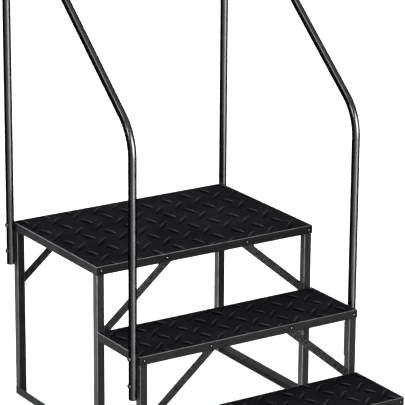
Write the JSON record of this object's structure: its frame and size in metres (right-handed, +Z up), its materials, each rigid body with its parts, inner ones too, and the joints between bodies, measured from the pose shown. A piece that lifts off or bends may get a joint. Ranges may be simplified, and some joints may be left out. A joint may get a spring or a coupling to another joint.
{
  "type": "mounting block",
  "caption": "Three-step steel mounting block with rubber diamond treads, square-tube legs, knee braces and two bent tube handrails.",
  "frame": {"origin": "on the ground under the centre of the block's bounding box", "axes": "+Z up, +Y the way a rider faces while climbing, +X to the rider's right"},
  "size_m": [0.8214, 1.0234, 1.4225],
  "materials": {
    "frame_steel": "black powder coat, satin",
    "brace_bar": "black powder coat, slightly lighter and textured",
    "handrail_tube": "black powder coat, semi-gloss",
    "rubber_tread": "black rubber with raised diamond pattern",
    "deck_plate": "black powder coat, matt",
    "fasteners": "black zinc, semi-bright"
  },
  "bodies": {
    "root": {"brace_middle_left": "brace_bar", "brace_middle_right": "brace_bar", "brace_platform_front_left": "brace_bar", "brace_platform_front_right": "brace_bar", "brace_platform_rear_left": "brace_bar", "brace_platform_rear_right": "brace_bar", "brace_screw_middle_left": "fasteners", "brace_screw_middle_right": "fasteners", "brace_screw_platform_front_left": "fasteners", "brace_screw_platform_front_right": "fasteners", "brace_screw_platform_rear_left": "fasteners", "brace_screw_platform_rear_right": "fasteners", "corner_screw_lower_left": "fasteners", "corner_screw_lower_right": "fasteners", "corner_screw_middle_left": "fasteners", "corner_screw_middle_right": "fasteners", "corner_screw_platform_front_left": "fasteners", "corner_screw_platform_front_right": "fasteners", "corner_screw_platform_rear_left": "fasteners", "corner_screw_platform_rear_right": "fasteners", "ground_rail_left": "frame_steel", "ground_rail_right": "frame_steel", "handrail_bolt_left_front_lower": "fasteners", "handrail_bolt_left_front_upper": "fasteners", "handrail_bolt_left_rear_lower": "fasteners", "handrail_bolt_left_rear_upper": "fasteners", "handrail_bolt_right_front_lower": "fasteners", "handrail_bolt_right_front_upper": "fasteners", "handrail_bolt_right_rear_lower": "fasteners", "handrail_bolt_right_rear_upper": "fasteners", "handrail_left": "handrail_tube", "handrail_plate_front": "frame_steel", "handrail_plate_rear": "frame_steel", "handrail_right": "handrail_tube", "handrail_spacer_front_lower": "frame_steel", "handrail_spacer_front_upper": "frame_steel", "handrail_spacer_rear_lower": "frame_steel", "handrail_spacer_rear_upper": "frame_steel", "leg_lower_front_left": "frame_steel", "leg_lower_front_right": "frame_steel", "leg_middle_front_left": "frame_steel", "leg_middle_front_right": "frame_steel", "leg_platform_front_left": "frame_steel", "leg_platform_front_right": "frame_steel", "leg_platform_rear_left": "frame_steel", "leg_platform_rear_right": "frame_steel", "lower_deck_plate": "deck_plate", "lower_frame": "frame_steel", "lower_mat": "rubber_tread", "middle_deck_plate": "deck_plate", "middle_frame": "frame_steel", "middle_mat": "rubber_tread", "platform_deck_plate": "deck_plate", "platform_frame": "frame_steel", "platform_mat": "rubber_tread", "tie_bolt_lower_left": "fasteners", "tie_bolt_lower_right": "fasteners", "tie_bolt_middle_left": "fasteners", "tie_bolt_middle_right": "fasteners"}
  },
  "joints": []
}
